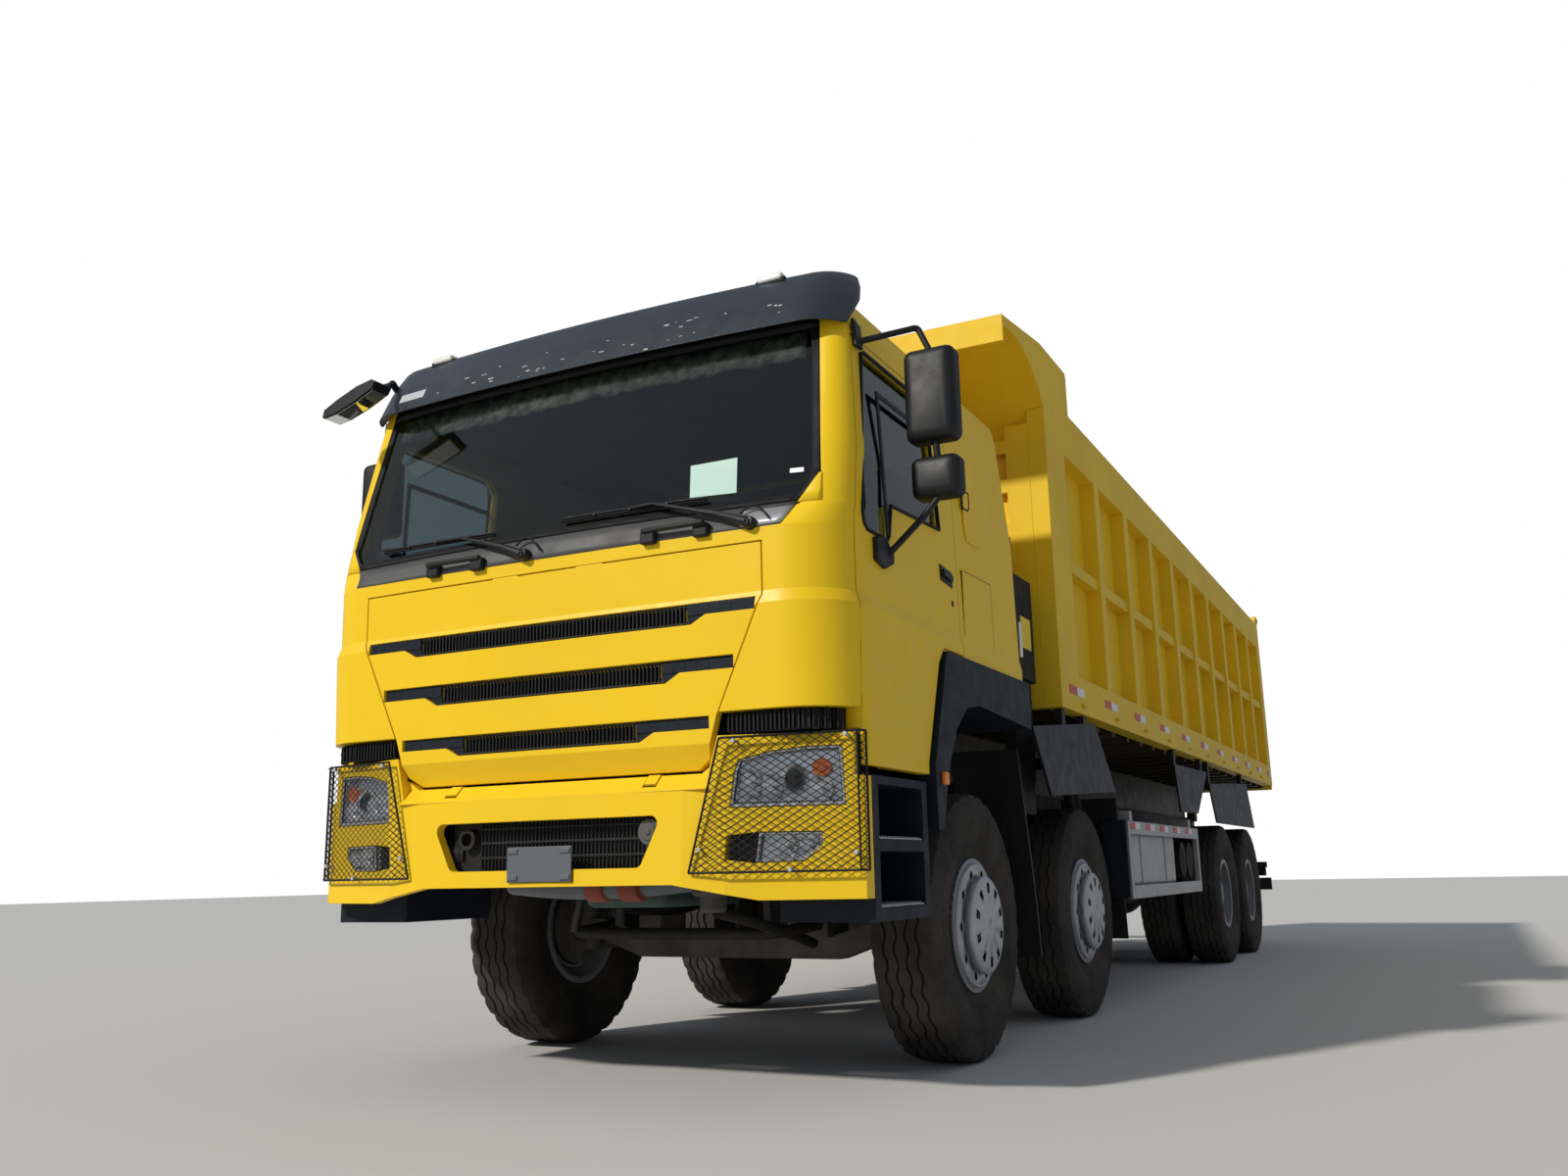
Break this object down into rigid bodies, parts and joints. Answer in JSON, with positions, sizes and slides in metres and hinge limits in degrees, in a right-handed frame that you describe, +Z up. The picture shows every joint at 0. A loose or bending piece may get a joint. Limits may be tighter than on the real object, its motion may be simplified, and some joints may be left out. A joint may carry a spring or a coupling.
{
  "type": "dump truck",
  "caption": "Four-axle rigid dump truck with forward cab, tall ribbed rear-tipping bed, telescopic front hoist, top-hung tailgate and guarded headlamps.",
  "frame": {"origin": "on the ground under the centre of the overall length and width, mirrors included", "axes": "+X to the truck's left, +Y rearwards, +Z up"},
  "size_m": [3, 10.99, 3.59],
  "materials": {
    "yellow_paint": "semi-gloss",
    "bed_paint": "semi-gloss",
    "dark_trim": "matte",
    "black_plastic": "matte",
    "chassis_black": "matte",
    "tyre_rubber": "matte",
    "window_glass": "polished",
    "lamp_lens": "polished",
    "silver_metal": "satin",
    "cast_grey": "matte",
    "ram_steel": "satin",
    "seat_fabric": "matte"
  },
  "bodies": {
    "chassis": {"frame": "chassis_black", "front_bumper": "yellow_paint", "lamps": "lamp_lens", "lamp_guards": "black_plastic", "cab_steps": "dark_trim", "engine_gearbox": "cast_grey", "radiator": "chassis_black", "axles": "cast_grey", "suspension": "chassis_black", "prop_shafts": "chassis_black", "fuel_tank": "silver_metal", "battery_box": "chassis_black", "silencer": "chassis_black", "air_tanks": "chassis_black", "side_guards": "silver_metal", "rear_bar": "chassis_black", "mudguards": "black_plastic", "hydraulic_tank": "chassis_black", "air_intake": "black_plastic"},
    "cab": {"cab_walls": "yellow_paint", "cab_floor": "chassis_black", "cab_roof": "yellow_paint", "windscreen": "window_glass", "sun_visor": "dark_trim", "dashboard": "black_plastic", "seats": "seat_fabric", "arch_trims": "dark_trim", "wipers": "black_plastic", "kerb_mirror": "black_plastic"},
    "door_left": {"door_left": "yellow_paint", "door_glass_left": "window_glass", "door_mirror_left": "black_plastic"},
    "door_right": {"door_right": "yellow_paint", "door_glass_right": "window_glass", "door_mirror_right": "black_plastic"},
    "grille_flap": {"grille_flap": "yellow_paint"},
    "bed": {"bed_floor": "bed_paint", "bed_sides": "bed_paint", "bed_headboard": "bed_paint", "bed_fenders": "black_plastic"},
    "tailgate": {"tailgate": "bed_paint"},
    "hoist_barrel": {"hoist_barrel": "yellow_paint"},
    "hoist_stage_1": {"hoist_stage_1": "ram_steel"},
    "hoist_stage_2": {"hoist_stage_2": "ram_steel"},
    "hoist_stage_3": {"hoist_stage_3": "ram_steel"},
    "hoist_stage_4": {"hoist_stage_4": "ram_steel"},
    "knuckle_1_left": {"knuckle_1_left": "cast_grey"},
    "knuckle_1_right": {"knuckle_1_right": "cast_grey"},
    "track_rod_1": {"track_rod_1": "chassis_black"},
    "knuckle_2_left": {"knuckle_2_left": "cast_grey"},
    "knuckle_2_right": {"knuckle_2_right": "cast_grey"},
    "track_rod_2": {"track_rod_2": "chassis_black"},
    "wheel_1_left": {"wheel_1_left": "tyre_rubber"},
    "wheel_1_right": {"wheel_1_right": "tyre_rubber"},
    "wheel_2_left": {"wheel_2_left": "tyre_rubber"},
    "wheel_2_right": {"wheel_2_right": "tyre_rubber"},
    "wheel_3_left": {"wheel_3_left": "tyre_rubber"},
    "wheel_3_right": {"wheel_3_right": "tyre_rubber"},
    "wheel_4_left": {"wheel_4_left": "tyre_rubber"},
    "wheel_4_right": {"wheel_4_right": "tyre_rubber"}
  },
  "joints": [
    {"name": "steer_1_left", "type": "hinge", "parent": "chassis", "child": "knuckle_1_left", "pos_m": [0.85, -3.945, 0.55], "axis": [0, 0, 1], "range_deg": [-35, 35]},
    {"name": "roll_1_left", "type": "hinge", "parent": "knuckle_1_left", "child": "wheel_1_left", "pos_m": [1.011, -3.945, 0.55], "axis": [1, 0, 0], "continuous": true},
    {"name": "steer_1_right", "type": "hinge", "parent": "chassis", "child": "knuckle_1_right", "pos_m": [-0.85, -3.945, 0.55], "axis": [0, 0, 1], "range_deg": [-35.05, 35.05]},
    {"name": "roll_1_right", "type": "hinge", "parent": "knuckle_1_right", "child": "wheel_1_right", "pos_m": [-1.011, -3.945, 0.55], "axis": [1, 0, 0], "continuous": true},
    {"name": "track_rod_1_shift", "type": "slide", "parent": "chassis", "child": "track_rod_1", "axis": [1, 0, 0], "range_m": [-0.1415, 0.1415]},
    {"name": "steer_2_left", "type": "hinge", "parent": "chassis", "child": "knuckle_2_left", "pos_m": [0.85, -2.145, 0.55], "axis": [0, 0, 1], "range_deg": [-25.76, 25.76]},
    {"name": "roll_2_left", "type": "hinge", "parent": "knuckle_2_left", "child": "wheel_2_left", "pos_m": [1.011, -2.145, 0.55], "axis": [1, 0, 0], "continuous": true},
    {"name": "steer_2_right", "type": "hinge", "parent": "chassis", "child": "knuckle_2_right", "pos_m": [-0.85, -2.145, 0.55], "axis": [0, 0, 1], "range_deg": [-25.76, 25.76]},
    {"name": "roll_2_right", "type": "hinge", "parent": "knuckle_2_right", "child": "wheel_2_right", "pos_m": [-1.011, -2.145, 0.55], "axis": [1, 0, 0], "continuous": true},
    {"name": "track_rod_2_shift", "type": "slide", "parent": "chassis", "child": "track_rod_2", "axis": [1, 0, 0], "range_m": [-0.104, 0.104]},
    {"name": "roll_3_left", "type": "hinge", "parent": "chassis", "child": "wheel_3_left", "pos_m": [0.915, 2.105, 0.55], "axis": [1, 0, 0], "continuous": true},
    {"name": "roll_3_right", "type": "hinge", "parent": "chassis", "child": "wheel_3_right", "pos_m": [-0.915, 2.105, 0.55], "axis": [1, 0, 0], "continuous": true},
    {"name": "roll_4_left", "type": "hinge", "parent": "chassis", "child": "wheel_4_left", "pos_m": [0.915, 3.455, 0.55], "axis": [1, 0, 0], "continuous": true},
    {"name": "roll_4_right", "type": "hinge", "parent": "chassis", "child": "wheel_4_right", "pos_m": [-0.915, 3.455, 0.55], "axis": [1, 0, 0], "continuous": true},
    {"name": "cab_tilt", "type": "hinge", "parent": "chassis", "child": "cab", "pos_m": [0, -5.345, 0.87], "axis": [1, 0, 0], "range_deg": [0, 50]},
    {"name": "door_left_swing", "type": "hinge", "parent": "cab", "child": "door_left", "pos_m": [1.216, -5.251, 1.5], "axis": [0, 0, -1], "range_deg": [0, 70]},
    {"name": "door_right_swing", "type": "hinge", "parent": "cab", "child": "door_right", "pos_m": [-1.216, -5.251, 1.5], "axis": [0, 0, 1], "range_deg": [0, 70]},
    {"name": "grille_flap_lift", "type": "hinge", "parent": "cab", "child": "grille_flap", "pos_m": [0, -5.4435, 1.922], "axis": [-1, 0, 0], "range_deg": [0, 70]},
    {"name": "bed_tilt", "type": "hinge", "parent": "chassis", "child": "bed", "pos_m": [0, 5.005, 1.285], "axis": [-1, 0, 0], "range_deg": [0, 45]},
    {"name": "tailgate_swing", "type": "hinge", "parent": "bed", "child": "tailgate", "pos_m": [0, 5.462, 3.375], "axis": [1, 0, 0], "range_deg": [0, 80]},
    {"name": "hoist_lean", "type": "hinge", "parent": "chassis", "child": "hoist_barrel", "pos_m": [0, -3.045, 1.16], "axis": [-1, 0, 0], "range_deg": [0, 26.83]},
    {"name": "hoist_extend_1", "type": "slide", "parent": "hoist_barrel", "child": "hoist_stage_1", "axis": [0, 0, 1], "range_m": [0, 1.5123]},
    {"name": "hoist_extend_2", "type": "slide", "parent": "hoist_stage_1", "child": "hoist_stage_2", "axis": [0, 0, 1], "range_m": [0, 1.5123]},
    {"name": "hoist_extend_3", "type": "slide", "parent": "hoist_stage_2", "child": "hoist_stage_3", "axis": [0, 0, 1], "range_m": [0, 1.5123]},
    {"name": "hoist_extend_4", "type": "slide", "parent": "hoist_stage_3", "child": "hoist_stage_4", "axis": [0, 0, 1], "range_m": [0, 1.5123]}
  ],
  "couplings": [
    {"joint": "steer_1_right", "follows": "steer_1_left", "ratio": 1},
    {"joint": "track_rod_1_shift", "follows": "steer_1_left", "m_per_rad": -0.23},
    {"joint": "steer_2_left", "follows": "steer_1_left", "ratio": 0.733},
    {"joint": "steer_2_right", "follows": "steer_1_left", "ratio": 0.733},
    {"joint": "track_rod_2_shift", "follows": "steer_1_left", "m_per_rad": -0.16859},
    {"joint": "hoist_lean", "follows": "bed_tilt", "ratio": 0.59584},
    {"joint": "hoist_extend_1", "follows": "bed_tilt", "m_per_rad": 1.9249},
    {"joint": "hoist_extend_2", "follows": "bed_tilt", "m_per_rad": 1.9249},
    {"joint": "hoist_extend_3", "follows": "bed_tilt", "m_per_rad": 1.9249},
    {"joint": "hoist_extend_4", "follows": "bed_tilt", "m_per_rad": 1.9249}
  ]
}
